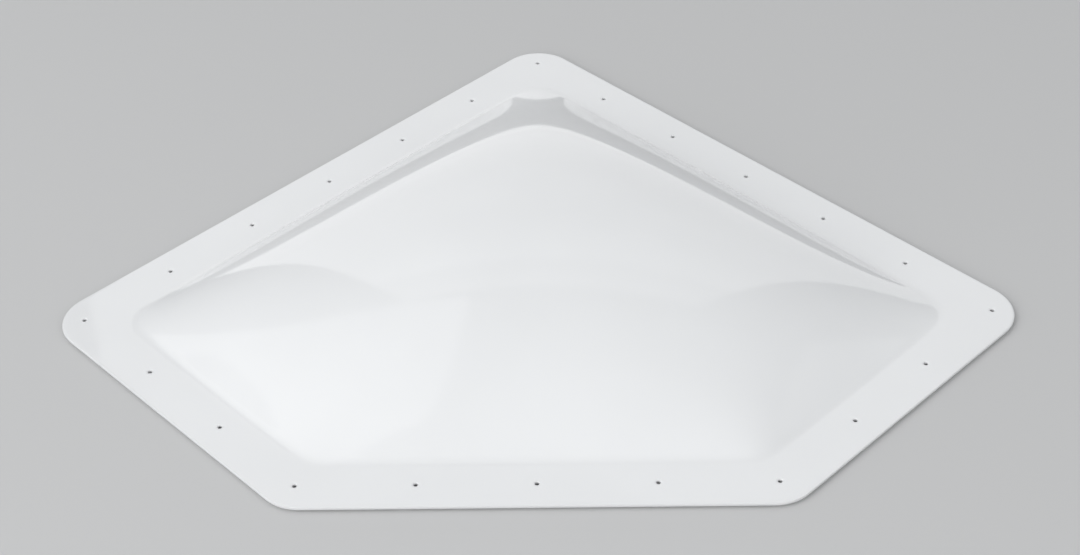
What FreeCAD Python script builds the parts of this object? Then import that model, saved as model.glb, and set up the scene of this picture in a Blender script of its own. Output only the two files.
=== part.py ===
import FreeCAD, Part
import math
import os
import Sketcher

# A neo-angle roof skylight for a caravan's corner shower: one sheet of white acrylic, clamped flat round a
# five-sided opening and blown up into a dome while hot, so that a flat flange stays all round it. The flange
# is drilled for screws and lies on five strips of sealing tape.
# Seen from above, the two long sides meet in a square corner, the apex, at +Y. A square corner at each end
# leads to a short side, and the front side, along X, cuts the fifth corner off. Z is up.

# Driving sizes in millimetres, and counts
SIZES = {
    # the long sides of the roof opening, 24 inches
    "opening_long": 609.6,
    # the short sides of the roof opening, 12 inches
    "opening_short": 304.8,
    # where the dome starts, the opening's corners are rounded
    "opening_corner_radius": 38.1,
    # 2 inches of flat flange all round
    "flange_width": 50.8,
    "flange_corner_radius": 44.45,
    "sheet_thickness": 3.175,
    # from the flange's upper face to the crown, 3 1/2 inches
    "dome_rise": 88.9,
    # the bend between flange and dome
    "bend_radius": 18.0,
    "screw_hole_diameter": 4.4,
    # from the flange's edge to the row of screw holes
    "screw_hole_inset": 28.575,
    "long_side_pitches": 6,
    "short_side_pitches": 3,
    "front_side_pitches": 4,
    "tape_width": 12.7,
    "tape_thickness": 3.175,
    # between two strips of tape, where their mitred ends meet
    "tape_joint_gap": 0.3,
}

# The opening's corners in order, clockwise from the apex, with the inner angle of each in degrees
CORNERS = ("apex", "right", "front_right", "front_left", "left")
SQUARE = 90.0
BLUNT = 135.0
INNER_ANGLE = {"apex": SQUARE, "right": SQUARE, "front_right": BLUNT, "front_left": BLUNT, "left": SQUARE}

# The tape lies in the middle of the strip between the screw holes and the opening. This is how far its outer
# edge is from the flange's edge.
SCREW_LINE = "(sizes.screw_hole_inset + sizes.screw_hole_diameter / 2)"
TAPE_SETBACK = f"(({SCREW_LINE} + sizes.flange_width - sizes.tape_width) / 2)"

# Each side of the opening: its name, its length, and the corners where its tape starts and ends
SIDES = (
    ("far_right", "sizes.opening_long", "right", "apex"),
    ("near_right", "sizes.opening_short", "front_right", "right"),
    ("front", "(sizes.opening_long - sizes.opening_short) * sqrt(2)", "front_left", "front_right"),
    ("near_left", "sizes.opening_short", "left", "front_left"),
    ("far_left", "sizes.opening_long", "apex", "left"),
)

# How much steeper the dome starts than an evenly stretched membrane of the same rise
FULLNESS = 0.2

# How finely the dome is described: the orders of its waves, the steps along the outline that they are
# matched on and that its control points take, and the rings of control points between bend and crown
HARMONICS = range(25)
MATCH_STEP = 12.0
SIDE_STEP = 26.0
ARC_STEP = math.radians(11.25)
RISE_ROWS = 14
DEGREE = 3
# control rows beside the bend, in thirds of its radius from the flange
BEND_ROWS = (2, 3, 4, 5)
# the innermost ring, as a share of the distance between two rings
CROWN_RING = 0.4
# how closely the crown is found
CROWN_PLACE = 0.001

doc = FreeCAD.newDocument("neo_angle_skylight")
sheet = doc.addObject("Spreadsheet::Sheet", "sizes")
for row, (name, value) in enumerate(SIZES.items(), start=1):
    sheet.set(f"A{row}", name)
    sheet.set(f"B{row}", str(value))
    sheet.setAlias(f"B{row}", name)
doc.recompute()


def size(name):
    """A driving size, read from the sheet."""
    return float(sheet.get(name))


# The outline seen from above


def half_angle(corner):
    return math.radians(INNER_ANGLE[corner] / 2)


def growth(corner):
    """How much a side grows at this corner for each millimetre that the outline moves outwards."""
    return 1 / math.tan(half_angle(corner))


def corner_points(outward):
    """The opening's five sharp corners, moved outwards. The opening's apex itself is the origin."""
    slant = math.sqrt(0.5)
    far = size("opening_long") * slant
    near = far - size("opening_short") * slant
    depth = far + size("opening_short") * slant
    inner = {
        "apex": (0.0, 0.0),
        "right": (far, -far),
        "front_right": (near, -depth),
        "front_left": (-near, -depth),
        "left": (-far, -far),
    }
    moved = []
    for index, corner in enumerate(CORNERS):
        here = FreeCAD.Vector(*inner[corner], 0)
        before = FreeCAD.Vector(*inner[CORNERS[index - 1]], 0)
        after = FreeCAD.Vector(*inner[CORNERS[(index + 1) % len(CORNERS)]], 0)
        bisector = (here - before).normalize() + (here - after).normalize()
        moved.append(here + bisector.normalize() * (outward / math.sin(half_angle(corner))))
    return moved


def rounded_corners(points, radius):
    """For each corner of an outline: its arc's start, middle, end and centre."""
    arcs = []
    for index, corner in enumerate(CORNERS):
        here = points[index]
        back = (points[index - 1] - here).normalize()
        ahead = (points[(index + 1) % len(points)] - here).normalize()
        tangent = radius * growth(corner)
        inwards = (back + ahead).normalize()
        centre = here + inwards * (radius / math.sin(half_angle(corner)))
        arcs.append((here + back * tangent, centre - inwards * radius, here + ahead * tangent, centre))
    return arcs


def rounded_wire(points, radius, height):
    """The outline with rounded corners, as a closed wire at this height."""
    lift = FreeCAD.Vector(0, 0, height)
    arcs = rounded_corners(points, radius)
    edges = []
    for index, (start, middle, end, _) in enumerate(arcs):
        edges.append(Part.Arc(start + lift, middle + lift, end + lift).toShape())
        following = arcs[(index + 1) % len(arcs)][0]
        edges.append(Part.LineSegment(end + lift, following + lift).toShape())
    return Part.Wire(edges)


def outline_samples(points, radius, side_step):
    """Points along the rounded outline, in order, each with its inward direction."""
    arcs = rounded_corners(points, radius)
    samples = []
    for index, (start, _, end, centre) in enumerate(arcs):
        # the outline runs clockwise, and so does each corner's arc
        turn = math.radians(INNER_ANGLE[CORNERS[index]]) - math.pi
        steps = max(2, round(-turn / ARC_STEP))
        spoke = start - centre
        for step in range(steps + 1):
            angle = turn * step / steps
            across = spoke.x * math.cos(angle) - spoke.y * math.sin(angle)
            along = spoke.x * math.sin(angle) + spoke.y * math.cos(angle)
            turned = FreeCAD.Vector(across, along, 0)
            samples.append((centre + turned, turned * (-1 / radius)))
        following = arcs[(index + 1) % len(arcs)][0]
        run = following - end
        inwards = FreeCAD.Vector(run.y, -run.x, 0).normalize()
        steps = max(2, math.ceil(run.Length / side_step))
        for step in range(1, steps):
            samples.append((end + run * (step / steps), inwards))
    return samples


def frame_shift():
    """What brings the middle of the flange's outline, front to back, to y = 0."""
    flange = corner_points(size("flange_width"))
    _, apex_tip, _, _ = rounded_corners(flange, size("flange_corner_radius"))[0]
    front = flange[CORNERS.index("front_right")]
    return FreeCAD.Vector(0, -(apex_tip.y + front.y) / 2, 0)


# The shape of the blown dome


def solve(matrix, right):
    """The unknowns of a small set of linear equations, by elimination with the largest pivot."""
    count = len(right)
    rows = [list(matrix[i]) + [right[i]] for i in range(count)]
    for i in range(count):
        pivot = max(range(i, count), key=lambda k: abs(rows[k][i]))
        rows[i], rows[pivot] = rows[pivot], rows[i]
        for k in range(i + 1, count):
            factor = rows[k][i] / rows[i][i]
            rows[k] = [a - factor * b for a, b in zip(rows[k], rows[i])]
    unknowns = [0.0] * count
    for i in reversed(range(count)):
        known = sum(rows[i][k] * unknowns[k] for k in range(i + 1, count))
        unknowns[i] = (rows[i][count] - known) / rows[i][i]
    return unknowns


class Membrane:
    """The shape that even pressure gives a sheet held flat along the opening's rounded outline.

    Its height is a bowl, turned over, plus smooth waves that have no curvature of their own. The waves'
    shares are chosen by least squares, so that the height is zero all along the outline. Heights are given
    as a share of the crown's. A blown sheet is a little fuller than that, steeper at the edge and flatter
    on top.
    """

    def __init__(self, outline):
        low = min(point.y for point in outline)
        high = max(point.y for point in outline)
        self.middle = (low + high) / 2
        self.reach = max(math.hypot(point.x, point.y - self.middle) for point in outline)
        waves = [self.waves(point.x, point.y) for point in outline]
        bowls = [self.bowl(point.x, point.y) for point in outline]
        matrix = [[sum(wave[i] * wave[k] for wave in waves) for k in HARMONICS] for i in HARMONICS]
        right = [sum(wave[i] * bowl for wave, bowl in zip(waves, bowls)) for i in HARMONICS]
        self.shares = solve(matrix, right)
        self.crown_height = 1.0
        self.crown_y = self.find_crown(low, high)
        self.crown_height = self.even_height(0, self.crown_y)

    def waves(self, x, y):
        place = complex(y - self.middle, x) / self.reach
        return [(place**order).real for order in HARMONICS]

    def bowl(self, x, y):
        return (x**2 + (y - self.middle) ** 2) / 4

    def even_height(self, x, y):
        waves = sum(share * wave for share, wave in zip(self.shares, self.waves(x, y)))
        return (waves - self.bowl(x, y)) / self.crown_height

    def height(self, x, y):
        even = self.even_height(x, y)
        return even * (1 + FULLNESS * (1 - even))

    def find_crown(self, low, high):
        """The highest point lies on the axis of symmetry: narrow the stretch that holds it by thirds."""
        while high - low > CROWN_PLACE:
            third = (high - low) / 3
            if self.even_height(0, low + third) < self.even_height(0, high - third):
                low += third
            else:
                high -= third
        return (low + high) / 2


def dome_rows(samples, membrane):
    """The dome's control points, row by row from the flange's edge of the bend up to the crown.

    The first two rows lie in the flange's plane, so that the dome leaves it without a crease, and the last
    two lie level with the crown. The bend lowers the slope beside it a little, and that loss fades out
    towards the crown. Heights are above the flange's upper face.
    """
    rise = size("dome_rise")
    pitch = size("bend_radius") / 3

    def inset(step):
        return [point + inwards * (pitch * step) for point, inwards in samples]

    losses = [rise * membrane.height(point.x, point.y) for point in inset(1)]

    def lifted(points):
        row = []
        for point, loss in zip(points, losses):
            share = membrane.height(point.x, point.y)
            row.append(FreeCAD.Vector(point.x, point.y, rise * share - loss * (1 - share)))
        return row

    rows = [inset(0), inset(1)]
    rows += [lifted(inset(step)) for step in BEND_ROWS]
    crown = FreeCAD.Vector(0, membrane.crown_y, 0)
    last_bend_row = inset(BEND_ROWS[-1])
    for ring in reversed(range(1, RISE_ROWS)):
        rows.append(lifted([crown + (point - crown) * (ring / RISE_ROWS) for point in last_bend_row]))
    top = crown + FreeCAD.Vector(0, 0, rise)
    rows.append([top + (point - crown) * (CROWN_RING / RISE_ROWS) for point in last_bend_row])
    rows.append([top] * len(samples))
    return rows


def dome_surface(rows, height):
    """One smooth surface over the control points, closed round the outline, at this height."""
    lift = FreeCAD.Vector(0, 0, height)
    poles = [[row[index] + lift for row in rows] for index in range(len(rows[0]))]
    around = len(poles)
    spans = len(rows) - DEGREE
    surface = Part.BSplineSurface()
    surface.buildFromPolesMultsKnots(
        poles,
        [1] * (around + 1),
        [DEGREE + 1] + [1] * (spans - 1) + [DEGREE + 1],
        [float(knot) for knot in range(around + 1)],
        [float(knot) for knot in range(spans + 1)],
        True,
        False,
        DEGREE,
        DEGREE,
    )
    return surface


# The sheet


def formed_sheet():
    """The sheet before drilling: dome, bend and flange as one closed solid, with the flange on z = 0."""
    thickness = size("sheet_thickness")
    opening = corner_points(0)
    corner_radius = size("opening_corner_radius")
    membrane = Membrane([point for point, _ in outline_samples(opening, corner_radius, MATCH_STEP)])
    rows = dome_rows(outline_samples(opening, corner_radius, SIDE_STEP), membrane)
    flange = corner_points(size("flange_width"))
    flange_radius = size("flange_corner_radius")
    faces = [rounded_wire(flange, flange_radius, 0).extrude(FreeCAD.Vector(0, 0, thickness))]
    for height in (0, thickness):
        surface = dome_surface(rows, height)
        mouth = Part.Wire([surface.vIso(0).toShape()])
        rim = rounded_wire(flange, flange_radius, height)
        faces.append(surface.toShape())
        faces.append(Part.makeFace([rim, mouth], "Part::FaceMakerBullseye"))
    skin = Part.Compound(faces)
    skin.sewShape()
    return Part.Solid(skin.Shells[0])


def screw_hole_centres():
    """A screw hole at each corner of the screw line, and evenly spaced ones between."""
    long_side = round(size("long_side_pitches"))
    short_side = round(size("short_side_pitches"))
    front_side = round(size("front_side_pitches"))
    pitches = (long_side, short_side, front_side, short_side, long_side)
    corners = corner_points(size("flange_width") - size("screw_hole_inset"))
    centres = []
    for index, count in enumerate(pitches):
        run = corners[(index + 1) % len(corners)] - corners[index]
        centres += [corners[index] + run * (step / count) for step in range(count)]
    return centres


def dome_sheet(shift):
    """The formed sheet with its screw holes drilled through the flange."""
    bed = size("tape_thickness")
    blank = doc.addObject("Part::Feature", "formed_sheet")
    blank.Shape = formed_sheet()
    blank.Placement = FreeCAD.Placement(shift + FreeCAD.Vector(0, 0, bed), FreeCAD.Rotation())
    # each drill starts one thickness below the flange and ends one above it
    start = shift + FreeCAD.Vector(0, 0, bed - size("sheet_thickness"))
    drills = []
    for centre in screw_hole_centres():
        drill = doc.addObject("Part::Cylinder", "screw_hole")
        drill.setExpression("Radius", "sizes.screw_hole_diameter / 2")
        drill.setExpression("Height", "sizes.sheet_thickness * 3")
        drill.Placement = FreeCAD.Placement(centre + start, FreeCAD.Rotation())
        drills.append(drill)
    pattern = doc.addObject("Part::Compound", "screw_holes")
    pattern.Links = drills
    drilled = doc.addObject("Part::Cut", "drilled_sheet")
    drilled.Base = blank
    drilled.Tool = pattern
    drilled.Label = "dome_sheet"
    return drilled


# The sealing tape


def draw_back(corner):
    """How far a strip's end draws back along its side, for each millimetre of gap at the mitre."""
    return 0.5 / math.sin(half_angle(corner))


def bind(sketch, name, constraint, drawn, expression):
    """Gives a sketch a named size, as drawn so far, and binds it to the sheet."""
    index = sketch.addConstraint(Sketcher.Constraint(*constraint, drawn))
    sketch.renameConstraint(index, name)
    sketch.setExpression(f"Constraints.{name}", expression)


def tape_strip(name, side_length, first, last):
    """A strip of tape along one side, its ends mitred to meet the strips of the next sides."""
    body = doc.addObject("PartDesign::Body", f"tape_{name}")
    body.Label = f"sealing_tape_{name}"
    plane = next(plane for plane in body.Origin.OriginFeatures if plane.Role == "XY_Plane")
    outline = body.newObject("Sketcher::SketchObject", f"outline_{name}")
    outline.AttachmentSupport = [(plane, "")]
    outline.MapMode = "FlatFace"

    # the outer edge, the end's mitre, the inner edge and the start's mitre, at first for any side
    length = size("opening_short")
    width = size("tape_width")
    corners = [
        FreeCAD.Vector(0, 0),
        FreeCAD.Vector(length, 0),
        FreeCAD.Vector(length - width, width),
        FreeCAD.Vector(width, width),
    ]
    for index, corner in enumerate(corners):
        outline.addGeometry(Part.LineSegment(corner, corners[(index + 1) % len(corners)]), False)
    for index in range(len(corners)):
        following = (index + 1) % len(corners)
        outline.addConstraint(Sketcher.Constraint("Coincident", index, 2, following, 1))
    outline.addConstraint(Sketcher.Constraint("Coincident", 0, 1, -1, 1))
    outline.addConstraint(Sketcher.Constraint("Horizontal", 0))
    outline.addConstraint(Sketcher.Constraint("Horizontal", 2))

    grown = f"(sizes.flange_width - {TAPE_SETBACK}) * {growth(first) + growth(last)}"
    trimmed = f"sizes.tape_joint_gap * {draw_back(first) + draw_back(last)}"
    start_mitre = f"sizes.tape_width * {growth(first)}"
    end_mitre = f"sizes.tape_width * {growth(last)}"
    bind(outline, "length", ("DistanceX", 0, 1, 0, 2), length, f"{side_length} + {grown} - {trimmed}")
    bind(outline, "width", ("DistanceY", 0, 1, 2, 2), width, "sizes.tape_width")
    bind(outline, "start_mitre", ("DistanceX", 0, 1, 2, 2), width, start_mitre)
    bind(outline, "end_mitre", ("DistanceX", 2, 1, 0, 2), width, end_mitre)

    strip = body.newObject("PartDesign::Pad", f"strip_{name}")
    strip.Profile = outline
    strip.setExpression("Length", "sizes.tape_thickness")
    body.Tip = strip
    return body


def place_tape(body, first, last, shift):
    """Lays a strip under the flange, from its first corner towards its last, with its width inwards."""
    screw_line = size("screw_hole_inset") + size("screw_hole_diameter") / 2
    setback = (screw_line + size("flange_width") - size("tape_width")) / 2
    corners = dict(zip(CORNERS, corner_points(size("flange_width") - setback)))
    along = (corners[last] - corners[first]).normalize()
    start = corners[first] + along * (size("tape_joint_gap") * draw_back(first))
    turn = math.degrees(math.atan2(along.y, along.x))
    body.Placement = FreeCAD.Placement(start + shift, FreeCAD.Rotation(FreeCAD.Vector(0, 0, 1), turn))


# The assembly

shift = frame_shift()
pieces = [dome_sheet(shift)]
for name, side_length, first, last in SIDES:
    strip = tape_strip(name, side_length, first, last)
    place_tape(strip, first, last, shift)
    pieces.append(strip)
doc.recompute()

faults = [item.Label for item in doc.Objects if "Invalid" in item.State or "Error" in item.State]
faults += [piece.Label for piece in pieces if piece.Shape.isNull() or not piece.Shape.isValid()]
if faults:
    raise RuntimeError(f"failed: {', '.join(faults)}")

os.makedirs("parts", exist_ok=True)
for piece in pieces:
    piece.Shape.exportStep(f"parts/{piece.Label}.step")
    box = piece.Shape.BoundBox
    print(f"{piece.Label}: {len(piece.Shape.Solids)} solid, {piece.Shape.Volume / 1000:.1f} cm3")
    print(f"  x {box.XMin:.1f} to {box.XMax:.1f}, y {box.YMin:.1f} to {box.YMax:.1f}")
    print(f"  z {box.ZMin:.2f} to {box.ZMax:.2f}")
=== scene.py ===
import bpy
import math
import numpy as np
from mathutils import Matrix, Vector


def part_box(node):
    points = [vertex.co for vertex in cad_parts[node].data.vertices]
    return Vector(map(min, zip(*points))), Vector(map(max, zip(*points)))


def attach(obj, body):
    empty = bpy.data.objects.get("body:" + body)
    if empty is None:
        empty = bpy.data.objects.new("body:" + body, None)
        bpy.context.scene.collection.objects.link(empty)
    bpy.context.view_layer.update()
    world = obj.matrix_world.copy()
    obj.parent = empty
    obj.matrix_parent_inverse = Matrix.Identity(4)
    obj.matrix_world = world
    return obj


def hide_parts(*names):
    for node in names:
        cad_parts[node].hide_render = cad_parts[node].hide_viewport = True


# A neo-angle roof skylight: a blown dome of white acrylic with a flat drilled flange, on strips of
# sealing tape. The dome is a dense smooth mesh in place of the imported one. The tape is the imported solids
# with their own finish. Lengths are in metres. +Y is the apex's side, and the photograph is taken from the
# front.

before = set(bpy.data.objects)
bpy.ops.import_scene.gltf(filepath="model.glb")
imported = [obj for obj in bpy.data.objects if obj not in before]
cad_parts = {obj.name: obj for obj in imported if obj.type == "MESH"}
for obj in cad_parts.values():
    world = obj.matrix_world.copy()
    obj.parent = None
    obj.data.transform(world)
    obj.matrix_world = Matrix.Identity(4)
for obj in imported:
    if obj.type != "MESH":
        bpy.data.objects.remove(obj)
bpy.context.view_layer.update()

MM = 0.001

# The sheet, as in the part. The pitches are the spaces between screw holes on each side, from the apex on
OPENING_LONG = 609.6 * MM
OPENING_SHORT = 304.8 * MM
OPENING_RADIUS = 38.1 * MM
FLANGE_WIDTH = 50.8 * MM
FLANGE_RADIUS = 44.45 * MM
SCREW_HOLE_INSET = 28.575 * MM
SCREW_HOLE_RADIUS = 2.2 * MM
SHEET_THICKNESS = 3.175 * MM
PITCHES = (6, 3, 4, 3, 6)
SHEET_LOW, SHEET_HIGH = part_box("dome_sheet")
FLANGE_TOP = SHEET_LOW.z + SHEET_THICKNESS
RISE = SHEET_HIGH.z - FLANGE_TOP

# How much fuller the dome is than an evenly blown one, and the run over which it bends into the flange
FULLNESS = 0.2
BEND = 12.0 * MM

# The finish of the edges
EDGE_RADIUS = 0.7 * MM
HOLE_CHAMFER = 0.35 * MM

# The mesh: the distance between its columns, its rows from the flange's edge to the crown, the rows and
# columns left out on each side of a screw hole, the ring of points round the hole and the rim's steps
STEP = 4.6 * MM
FLANGE_ROWS = 16
BEND_STEPS = 10
RUN_ROWS = (1.25, 1.6, 2.0, 2.5)
RISE_ROWS = 64
HALVINGS = (0.5, 0.25, 0.12)
HOLE_REACH = 3
HOLE_RING = 2.2 * SCREW_HOLE_RADIUS
RIM_ANGLES = (30, 60, 90)

# The blown form is a sum of this many waves, and its crown is looked for at this many places
WAVES = 60
CROWN_PLACES = 4001
TINY = 1e-9

# The mesh's value that is 1 where the sheet is sawn or drilled
SAWN = "sawn"

# The finishes' patterns: the length of a wave and the depth of a relief
CLOUD_WAVE = 140.0 * MM
SMEAR_WAVE = 55.0 * MM
BLOWN_WAVE = 45.0 * MM
BLOWN_DEPTH = 0.06 * MM
PEEL_WAVE = 4.0 * MM
PEEL_DEPTH = 0.004 * MM
SAW_WAVE = 0.8 * MM
SAW_DEPTH = 0.12 * MM
SAW_STRETCH = (1, 1, 30)
MOTTLE_WAVE = 7.0 * MM
LUMP_WAVE = 9.0 * MM
LUMP_DEPTH = 0.4 * MM
GRAIN_WAVE = 0.6 * MM
GRAIN_DEPTH = 0.06 * MM

# Most of a pattern's values lie between these two, and its detail is plain, usual or fine
PATTERN_RANGE = (0.35, 0.65)
PLAIN = 1.0
USUAL = 2.0
FINE = 4.0

# Each finish's tones and how much bluer than grey they are
MILK_TONES = (0.852, 0.868)
MILK_BLUE = 0.014
SAWN_TONE = 0.78
SAWN_BLUE = 0.012
TAPE_TONES = (0.44, 0.56)
TAPE_BLUES = (-0.015, -0.02)

# Each finish's roughness, and how strongly acrylic refracts
GLOSS_ROUGHNESS = (0.045, 0.08)
SAWN_ROUGHNESS = 0.48
TAPE_ROUGHNESS = (0.55, 0.78)
ACRYLIC_IOR = 1.49

# The places of the colours among a mix node's sockets
FIRST_COLOUR = 6
SECOND_COLOUR = 7
MIXED_COLOUR = 2

# Inner angles in degrees of the outline's corners: apex, right, front right, front left, left
ANGLES = (90.0, 90.0, 135.0, 135.0, 90.0)
CORNERS = len(ANGLES)


def half_angle(corner):
    return math.radians(ANGLES[corner] / 2)


def unit(vector):
    return vector / np.linalg.norm(vector)


def corner_points(outward):
    """The five sharp corners of the opening moved outwards, clockwise from the apex."""
    slant = math.sqrt(0.5)
    far = OPENING_LONG * slant
    near = far - OPENING_SHORT * slant
    depth = far + OPENING_SHORT * slant
    tip = FLANGE_WIDTH / slant - FLANGE_RADIUS * (math.sqrt(2) - 1)
    shift = (depth + FLANGE_WIDTH - tip) / 2
    inner = np.array([(0, 0), (far, -far), (near, -depth), (-near, -depth), (-far, -far)]) + (0, shift)
    moved = []
    for corner in range(CORNERS):
        here = inner[corner]
        bisector = unit(unit(here - inner[corner - 1]) + unit(here - inner[(corner + 1) % CORNERS]))
        moved.append(here + bisector * outward / math.sin(half_angle(corner)))
    return np.array(moved)


def corner_arc(points, corner, radius):
    """A rounded corner's start, end and centre."""
    here = points[corner]
    back = unit(points[corner - 1] - here)
    ahead = unit(points[(corner + 1) % CORNERS] - here)
    tangent = radius / math.tan(half_angle(corner))
    centre = here + unit(back + ahead) * radius / math.sin(half_angle(corner))
    return here + back * tangent, here + ahead * tangent, centre


def turned(vector, angle):
    c, s = math.cos(angle), math.sin(angle)
    return np.array([c * vector[0] - s * vector[1], s * vector[0] + c * vector[1]])


def ray_to_outline(start, direction, points, radius):
    """Where a ray from inside meets the flange's rounded outline, near one of its corners."""
    best = None
    for corner in range(CORNERS):
        here, following = points[corner], points[(corner + 1) % CORNERS]
        along = unit(following - here)
        normal = np.array([-along[1], along[0]])
        speed = direction @ normal
        if speed > TINY:
            reach = (here - start) @ normal / speed
            if best is None or reach < best:
                best = reach
    for corner in range(CORNERS):
        first, last, centre = corner_arc(points, corner, radius)
        gap = start - centre
        b = gap @ direction
        c = gap @ gap - radius**2
        if b * b > c:
            reach = -b + math.sqrt(b * b - c)
            spoke = start + direction * reach - centre
            outward = unit(points[corner] - centre)
            within = unit(spoke) @ outward > math.cos(math.pi / 2 - half_angle(corner))
            if within and reach < best:
                best = reach
    return start + direction * best


def columns():
    """Points round the opening's outline, each with its inward direction and the flange's edge outside it.

    There is a column at every screw hole, and the number between two of them can be halved three times.
    """
    opening = corner_points(0)
    flange = corner_points(FLANGE_WIDTH)
    screw_line = corner_points(FLANGE_WIDTH - SCREW_HOLE_INSET)
    inner, inwards, outer, holes = [], [], [], []
    share = 2 ** len(HALVINGS)

    def add(point, direction):
        inner.append(point)
        inwards.append(direction)
        outer.append(ray_to_outline(point, -direction, flange, FLANGE_RADIUS))

    for corner in range(CORNERS):
        start, end, centre = corner_arc(opening, corner, OPENING_RADIUS)
        turn = math.radians(ANGLES[corner]) - math.pi
        steps = share * max(1, round(-turn * (OPENING_RADIUS + FLANGE_WIDTH / 2) / (share * STEP)))
        if steps % (2 * share):
            steps += share
        for step in range(steps):
            if step == steps // 2:
                holes.append((len(inner), screw_line[corner]))
            spoke = turned(start - centre, turn * step / steps)
            add(centre + spoke, -unit(spoke))
        following = corner_arc(opening, (corner + 1) % CORNERS, OPENING_RADIUS)[0]
        along = unit(following - end)
        direction = np.array([along[1], -along[0]])
        line_start, line_end = screw_line[corner], screw_line[(corner + 1) % CORNERS]
        stations = [0.0]
        places = []
        for pitch in range(1, PITCHES[corner]):
            place = line_start + (line_end - line_start) * pitch / PITCHES[corner]
            stations.append((place - end) @ along)
            places.append(place)
        stations.append((following - end) @ along)
        for index in range(len(stations) - 1):
            length = stations[index + 1] - stations[index]
            steps = share * max(1, round(length / (share * STEP)))
            if index:
                holes.append((len(inner), places[index - 1]))
            for step in range(steps):
                add(end + along * (stations[index] + length * step / steps), direction)
    return np.array(inner), np.array(inwards), np.array(outer), holes


class Membrane:
    """The height of a sheet blown by even pressure: a bowl, turned over, plus waves without curvature."""

    def __init__(self, outline):
        self.middle = (outline[:, 1].min() + outline[:, 1].max()) / 2
        self.reach = np.hypot(outline[:, 0], outline[:, 1] - self.middle).max()
        bowl = (outline[:, 0] ** 2 + (outline[:, 1] - self.middle) ** 2) / 4
        self.shares = np.linalg.lstsq(self.waves(outline), bowl, rcond=None)[0]
        self.crown_height = 1.0
        line = np.zeros((CROWN_PLACES, 2))
        line[:, 1] = np.linspace(outline[:, 1].min(), outline[:, 1].max(), len(line))
        heights = self.height(line)
        self.crown = line[heights.argmax()]
        self.crown_height = heights.max()

    def waves(self, points):
        place = (points[:, 1] - self.middle + 1j * points[:, 0]) / self.reach
        return np.stack([(place**order).real for order in range(WAVES)], axis=1)

    def height(self, points):
        bowl = (points[:, 0] ** 2 + (points[:, 1] - self.middle) ** 2) / 4
        return (self.waves(points) @ self.shares - bowl) / self.crown_height

    def slope(self, points):
        """How steeply the height changes."""
        place = (points[:, 1] - self.middle + 1j * points[:, 0]) / self.reach
        powers = np.stack([order * place ** max(order - 1, 0) for order in range(WAVES)], axis=1)
        turn = powers / self.reach @ self.shares
        along = turn.real - (points[:, 1] - self.middle) / 2
        across = -turn.imag - points[:, 0] / 2
        return np.hypot(along, across) / self.crown_height


def dome_height(points, membrane):
    """The membrane's height made a little fuller, with the bend rounded off where it meets the flange."""
    even = np.clip(membrane.height(points), 0, None)
    share = even * (1 + FULLNESS * (1 - even))
    steepness = membrane.slope(points) * (1 + FULLNESS - 2 * FULLNESS * even) * RISE
    height = share * RISE
    inset = height / np.maximum(steepness, TINY)
    lost = np.where(inset < BEND, inset - inset**2 / (2 * BEND), BEND / 2)
    return height - steepness * lost * (1 - share)


def grid_faces(rows):
    """Quads between rows of vertex numbers that close round the outline."""
    faces = []
    for below, above in zip(rows, rows[1:]):
        count = len(below)
        for i in range(count):
            j = (i + 1) % count
            faces.append((below[i], below[j], above[j], above[i]))
    return faces


def halving_faces(row, half_row):
    """Faces between a row and the next one in, which has half as many points."""
    faces = []
    count = len(half_row)
    for i in range(count):
        a, b, c = row[2 * i], row[2 * i + 1], row[(2 * i + 2) % len(row)]
        d, e = half_row[i], half_row[(i + 1) % count]
        faces += [(a, b, d), (b, e, d), (b, c, e)]
    return faces


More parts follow.
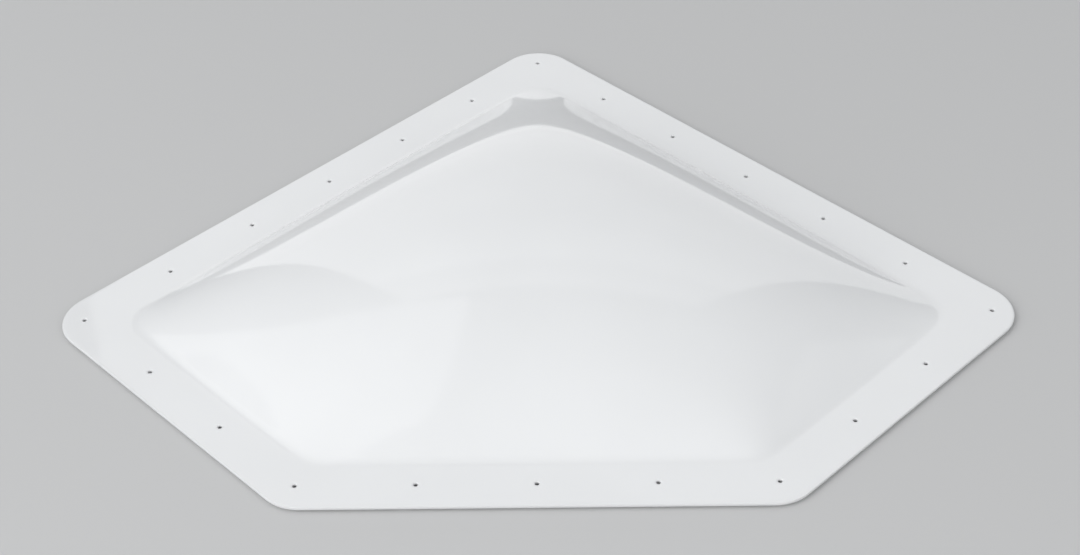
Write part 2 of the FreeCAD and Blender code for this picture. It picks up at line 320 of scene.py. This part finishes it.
class Skin:
    """The vertices and faces of one mesh, gathered row by row."""

    def __init__(self):
        self.points = []
        self.sawn = []
        self.faces = []

    def row(self, places, heights, sawn=0.0):
        """Adds points, which are sawn by this share from 0 to 1, and returns their numbers."""
        first = len(self.points)
        heights = np.broadcast_to(heights, len(places))
        self.points += [(x, y, z) for (x, y), z in zip(places, heights)]
        self.sawn += [sawn] * len(places)
        return list(range(first, len(self.points)))

    def side(self, inner, inwards, outer, holes, membrane, level, upwards):
        """The upper or the under side. Returns its outermost row and its rows round the screw holes."""
        faces = []
        sign = 1 if upwards else -1
        span = outer - inner
        length = np.linalg.norm(span, axis=1, keepdims=True)
        rows = []
        for step in range(FLANGE_ROWS, -1, -1):
            place = inner + span * (step / FLANGE_ROWS)
            if step == FLANGE_ROWS:
                place = outer - span / length * EDGE_RADIUS
            rows.append(self.row(place, level))
        rims = []
        skipped = set()
        for column, centre in holes:
            distance = np.linalg.norm(centre - inner[column])
            nearest = round(distance / length[column, 0] * FLANGE_ROWS)
            top, bottom = FLANGE_ROWS - nearest - HOLE_REACH, FLANGE_ROWS - nearest + HOLE_REACH
            left, right = column - HOLE_REACH, column + HOLE_REACH
            count = len(inner)
            loop = [rows[top][i % count] for i in range(left, right)]
            loop += [rows[i][right % count] for i in range(top, bottom)]
            loop += [rows[bottom][i % count] for i in range(right, left, -1)]
            loop += [rows[i][left % count] for i in range(bottom, top, -1)]
            for i in range(top, bottom):
                skipped |= {(i, k % count) for k in range(left, right)}
            rims.append((centre, loop))
        for index, (below, above) in enumerate(zip(rows, rows[1:])):
            count = len(below)
            for i in range(count):
                if (index, i) not in skipped:
                    j = (i + 1) % count
                    faces.append((below[i], below[j], above[j], above[i]))
        walls = []
        for centre, loop in rims:
            start = math.atan2(self.points[loop[0]][1] - centre[1], self.points[loop[0]][0] - centre[0])
            count = len(loop)
            circle = np.array([
                (math.cos(start - 2 * math.pi * i / count), math.sin(start - 2 * math.pi * i / count))
                for i in range(count)
            ])
            wide = self.row(centre + circle * HOLE_RING, level)
            mouth = self.row(centre + circle * (SCREW_HOLE_RADIUS + HOLE_CHAMFER), level)
            wall = self.row(centre + circle * SCREW_HOLE_RADIUS, level - sign * HOLE_CHAMFER, sawn=1.0)
            for i in range(count):
                j = (i + 1) % count
                faces.append((loop[i], loop[j], wide[j], wide[i]))
                faces.append((wide[i], wide[j], mouth[j], mouth[i]))
                faces.append((mouth[i], mouth[j], wall[j], wall[i]))
            walls.append(wall)

        def dome_row(place):
            return self.row(place, level + dome_height(place, membrane))

        insets = [BEND * step / BEND_STEPS for step in range(1, BEND_STEPS + 1)]
        insets += [BEND * run for run in RUN_ROWS]
        dome = [rows[-1]] + [dome_row(inner + inwards * inset) for inset in insets]
        faces += grid_faces(dome)
        edge = inner + inwards * insets[-1]
        last = dome[-1]
        waiting = list(HALVINGS)
        for step in range(1, RISE_ROWS):
            share = 1 - step / RISE_ROWS
            halved = waiting and share < waiting[0]
            if halved:
                edge = edge[::2]
                waiting.pop(0)
            row = dome_row(membrane.crown + (edge - membrane.crown) * share)
            faces += halving_faces(last, row) if halved else grid_faces([last, row])
            last = row
        crown = self.row(membrane.crown[None], level + RISE)[0]
        faces += [(last[i], last[(i + 1) % len(last)], crown) for i in range(len(last))]
        self.faces += faces if upwards else [face[::-1] for face in faces]
        return rows[0], walls


def add_dome():
    """The sheet's visible mesh: both sides, the rounded rim and the screw holes' walls."""
    inner, inwards, outer, holes = columns()
    membrane = Membrane(inner)
    skin = Skin()
    bottom_level = FLANGE_TOP - SHEET_THICKNESS
    top_edge, top_walls = skin.side(inner, inwards, outer, holes, membrane, FLANGE_TOP, True)
    bottom_edge, bottom_walls = skin.side(inner, inwards, outer, holes, membrane, bottom_level, False)
    out = (outer - inner) / np.linalg.norm(outer - inner, axis=1, keepdims=True)
    rim = []
    for angle in RIM_ANGLES:
        reach = EDGE_RADIUS * (math.sin(math.radians(angle)) - 1)
        drop = EDGE_RADIUS * (1 - math.cos(math.radians(angle)))
        rim.append((reach, FLANGE_TOP - drop))
    rim += [(reach, FLANGE_TOP + bottom_level - level) for reach, level in reversed(rim)]
    edge = [skin.row(outer + out * reach, level, sawn=1.0) for reach, level in reversed(rim)]
    skin.faces += grid_faces([bottom_edge] + edge + [top_edge])
    for top, bottom in zip(top_walls, bottom_walls):
        skin.faces += grid_faces([top, bottom])
    mesh = bpy.data.meshes.new("skylight_dome")
    mesh.from_pydata(skin.points, [], skin.faces)
    mesh.flip_normals()  # the outline runs clockwise, so the faces look inwards until here
    mesh.validate()
    mesh.attributes.new(SAWN, "FLOAT", "POINT").data.foreach_set("value", skin.sawn)
    mesh.shade_smooth()
    dome = bpy.data.objects.new("skylight_dome", mesh)
    bpy.context.scene.collection.objects.link(dome)
    return dome


class Finish:
    """A material whose patterns are laid over the part's own coordinates."""

    def __init__(self, name):
        self.material = bpy.data.materials.new(name)
        self.material.use_nodes = True
        self.nodes = self.material.node_tree.nodes
        self.link = self.material.node_tree.links.new
        self.shader = self.nodes["Principled BSDF"]
        self.place = self.nodes.new("ShaderNodeTexCoord").outputs["Object"]

    def feed(self, node, name, value):
        """Gives a node's input a constant or another node's output."""
        if isinstance(value, bpy.types.NodeSocket):
            self.link(value, node.inputs[name])
        else:
            node.inputs[name].default_value = value

    def noise(self, wave, detail=USUAL, stretch=(1, 1, 1)):
        """Smooth random values about a half. The wave's length is stretched along each axis."""
        mapping = self.nodes.new("ShaderNodeMapping")
        self.feed(mapping, "Scale", [1 / (wave * factor) for factor in stretch])
        self.feed(mapping, "Vector", self.place)
        node = self.nodes.new("ShaderNodeTexNoise")
        self.feed(node, "Scale", 1.0)
        self.feed(node, "Detail", detail)
        self.feed(node, "Vector", mapping.outputs["Vector"])
        return node.outputs["Fac"]

    def spread(self, value, low, high, start=0.0, stop=1.0):
        """Low where the value is at the start or under it, high at the stop or over it."""
        node = self.nodes.new("ShaderNodeMapRange")
        self.feed(node, "Value", value)
        self.feed(node, "From Min", start)
        self.feed(node, "From Max", stop)
        self.feed(node, "To Min", low)
        self.feed(node, "To Max", high)
        return node.outputs["Result"]

    def colours(self, share, first, second):
        """A mix of two colours."""
        node = self.nodes.new("ShaderNodeMix")
        node.data_type = "RGBA"
        self.feed(node, "Factor", share)
        self.feed(node, FIRST_COLOUR, first)
        self.feed(node, SECOND_COLOUR, second)
        return node.outputs[MIXED_COLOUR]

    def mesh_value(self, name):
        node = self.nodes.new("ShaderNodeAttribute")
        node.attribute_name = name
        return node.outputs["Fac"]

    def relief(self, height, depth, under=None):
        """A relief this deep, over another one where there is one."""
        node = self.nodes.new("ShaderNodeBump")
        self.feed(node, "Distance", depth)
        self.feed(node, "Height", height)
        if under:
            self.feed(node, "Normal", under)
        return node.outputs["Normal"]


def grey(tone, blue=0.0):
    return (tone, tone + blue / 2, tone + blue, 1)


def acrylic():
    """Glossy milky-white acrylic: slightly wavy from blowing, with satin sawn edges and drilled holes."""
    finish = Finish("white_acrylic")
    sawn = finish.mesh_value(SAWN)
    cloud = finish.spread(finish.noise(CLOUD_WAVE), 0.0, 1.0, *PATTERN_RANGE)
    milk = finish.colours(cloud, *(grey(tone, MILK_BLUE) for tone in MILK_TONES))
    finish.feed(finish.shader, "Base Color", finish.colours(sawn, milk, grey(SAWN_TONE, SAWN_BLUE)))
    gloss = finish.spread(finish.noise(SMEAR_WAVE, FINE), *GLOSS_ROUGHNESS, *PATTERN_RANGE)
    finish.feed(finish.shader, "Roughness", finish.spread(sawn, gloss, SAWN_ROUGHNESS))
    finish.feed(finish.shader, "IOR", ACRYLIC_IOR)
    wavy = finish.relief(finish.noise(BLOWN_WAVE, PLAIN), BLOWN_DEPTH)
    peel = finish.relief(finish.noise(PEEL_WAVE, PLAIN), PEEL_DEPTH, wavy)
    chatter = finish.spread(sawn, 0.5, finish.noise(SAW_WAVE, stretch=SAW_STRETCH))
    finish.feed(finish.shader, "Normal", finish.relief(chatter, SAW_DEPTH, peel))
    return finish.material


def tape_finish():
    """Mottled grey butyl tape with a grainy, slightly lumpy skin."""
    finish = Finish("sealing_tape")
    mottle = finish.spread(finish.noise(MOTTLE_WAVE, FINE), 0.0, 1.0, *PATTERN_RANGE)
    tones = (grey(tone, blue) for tone, blue in zip(TAPE_TONES, TAPE_BLUES))
    finish.feed(finish.shader, "Base Color", finish.colours(mottle, *tones))
    finish.feed(finish.shader, "Roughness", finish.spread(mottle, *TAPE_ROUGHNESS))
    lumps = finish.relief(finish.noise(LUMP_WAVE), LUMP_DEPTH)
    finish.feed(finish.shader, "Normal", finish.relief(finish.noise(GRAIN_WAVE), GRAIN_DEPTH, lumps))
    return finish.material


dome = add_dome()
dome.data.materials.append(acrylic())
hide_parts("dome_sheet")
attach(dome, "root")

tape_material = tape_finish()
for name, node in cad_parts.items():
    if name.startswith("sealing_tape"):
        node.data.materials.clear()
        node.data.materials.append(tape_material)

# The stage: a plain pale floor, four soft lamps and the world's light, which is slightly blue
FLOOR_TONE = 0.63
FLOOR_SIZE = 40.0
FLOOR_ROUGHNESS = 0.9
WORLD_COLOUR = (0.96, 0.98, 1, 1)
WORLD_STRENGTH = 0.43

# Each lamp's azimuth, elevation, width, height and strength. They stand round the part's origin. A lamp
# that is stronger than white gives only light, and a panel just in front of it shows in the gloss instead.
LAMP_DISTANCE = 6.4
WHITE = 1.0
LAMPS = {
    "main_lamp": (-40, 32, 7.8, 5.4, 1.85),
    "front_right_lamp": (40, 35, 5.2, 3.6, 0.75),
    "left_high_lamp": (-90, 60, 6.0, 4.8, 0.75),
    "right_lamp": (90, 35, 4.0, 2.8, 0.45),
}
PANEL_GAP = 0.1

# A bright wall behind the part, which shows only in its gloss: each panel's middle above the floor, its
# height and its strength
WALL_RIGHT = 0.0875
WALL_BACK = 0.902
WALL_WIDTH = 1.725
WALL_PANELS = {
    "panel_low": (0.3575, 0.685, 1.08),
    "panel_mid": (1.05, 0.7, 1.0),
    "panel_high": (1.75, 0.7, 0.6),
}
MIDDLE = Vector((0, 0, 0))
AHEAD = Vector((0, 1, 0))


def add_floor():
    mesh = bpy.data.meshes.new("floor")
    half = FLOOR_SIZE / 2
    corners = [(-half, -half, 0), (half, -half, 0), (half, half, 0), (-half, half, 0)]
    mesh.from_pydata(corners, [], [(0, 1, 2, 3)])
    floor = bpy.data.objects.new("floor", mesh)
    bpy.context.scene.collection.objects.link(floor)
    material = bpy.data.materials.new("floor")
    material.use_nodes = True
    shader = material.node_tree.nodes["Principled BSDF"]
    shader.inputs["Base Color"].default_value = grey(FLOOR_TONE)
    shader.inputs["Roughness"].default_value = FLOOR_ROUGHNESS
    shader.inputs["Specular IOR Level"].default_value = 0.0
    mesh.materials.append(material)


def add_softbox(name, place, aim, width, height, radiance):
    """An area lamp that the camera doesn't see, from a place towards an aim."""
    lamp = bpy.data.lights.new(name, "AREA")
    lamp.shape = "RECTANGLE"
    lamp.size = width
    lamp.size_y = height
    lamp.energy = radiance * math.pi * width * height
    softbox = bpy.data.objects.new(name, lamp)
    softbox.location = place
    softbox.rotation_mode = "QUATERNION"
    softbox.rotation_quaternion = (place - aim).to_track_quat("Z", "Y")
    softbox.visible_camera = False
    bpy.context.scene.collection.objects.link(softbox)
    return softbox


def seen_from_part(azimuth, elevation, distance):
    """A place round the part. Azimuth 0 is in front and 90 on the right."""
    a, e = math.radians(azimuth), math.radians(elevation)
    return Vector((math.sin(a) * math.cos(e), -math.cos(a) * math.cos(e), math.sin(e))) * distance


def add_lamps():
    for name, (azimuth, elevation, width, height, strength) in LAMPS.items():
        place = seen_from_part(azimuth, elevation, LAMP_DISTANCE)
        lamp = add_softbox(name, place, MIDDLE, width, height, strength)
        if strength > WHITE:
            lamp.visible_glossy = False
            place = seen_from_part(azimuth, elevation, LAMP_DISTANCE - PANEL_GAP)
            width, height = width - PANEL_GAP, height - PANEL_GAP
            add_softbox(name + "_panel", place, MIDDLE, width, height, WHITE).visible_diffuse = False
    for name, (level, height, strength) in WALL_PANELS.items():
        place = Vector((WALL_RIGHT, WALL_BACK, level))
        add_softbox(name, place, place - AHEAD, WALL_WIDTH, height, strength).visible_diffuse = False


def add_world():
    world = bpy.data.worlds.new("studio")
    bpy.context.scene.world = world
    world.use_nodes = True
    surface = world.node_tree.nodes["Background"]
    surface.inputs["Color"].default_value = WORLD_COLOUR
    surface.inputs["Strength"].default_value = WORLD_STRENGTH


# The camera stands in front of the part and above it. Its angles are in degrees, its lens in millimetres
CAMERA_PLACE = (21.8 * MM, -1611.3 * MM, 1306.0 * MM)
CAMERA_DOWN = 39.759
CAMERA_TURN = 0.700
CAMERA_ROLL = -1.0826
CAMERA_LENS = 64.985
SENSOR = 36.0


def add_camera():
    data = bpy.data.cameras.new("camera")
    data.sensor_fit = "HORIZONTAL"
    data.sensor_width = SENSOR
    data.lens = CAMERA_LENS
    camera = bpy.data.objects.new("camera", data)
    turn = Matrix.Rotation(math.radians(CAMERA_TURN), 4, "Z")
    down = Matrix.Rotation(math.radians(90 - CAMERA_DOWN), 4, "X")
    roll = Matrix.Rotation(math.radians(CAMERA_ROLL), 4, "Z")
    camera.matrix_world = Matrix.Translation(CAMERA_PLACE) @ turn @ down @ roll
    bpy.context.scene.collection.objects.link(camera)
    bpy.context.scene.camera = camera


add_floor()
add_world()
add_lamps()
add_camera()
bpy.context.scene.view_settings.view_transform = "Standard"
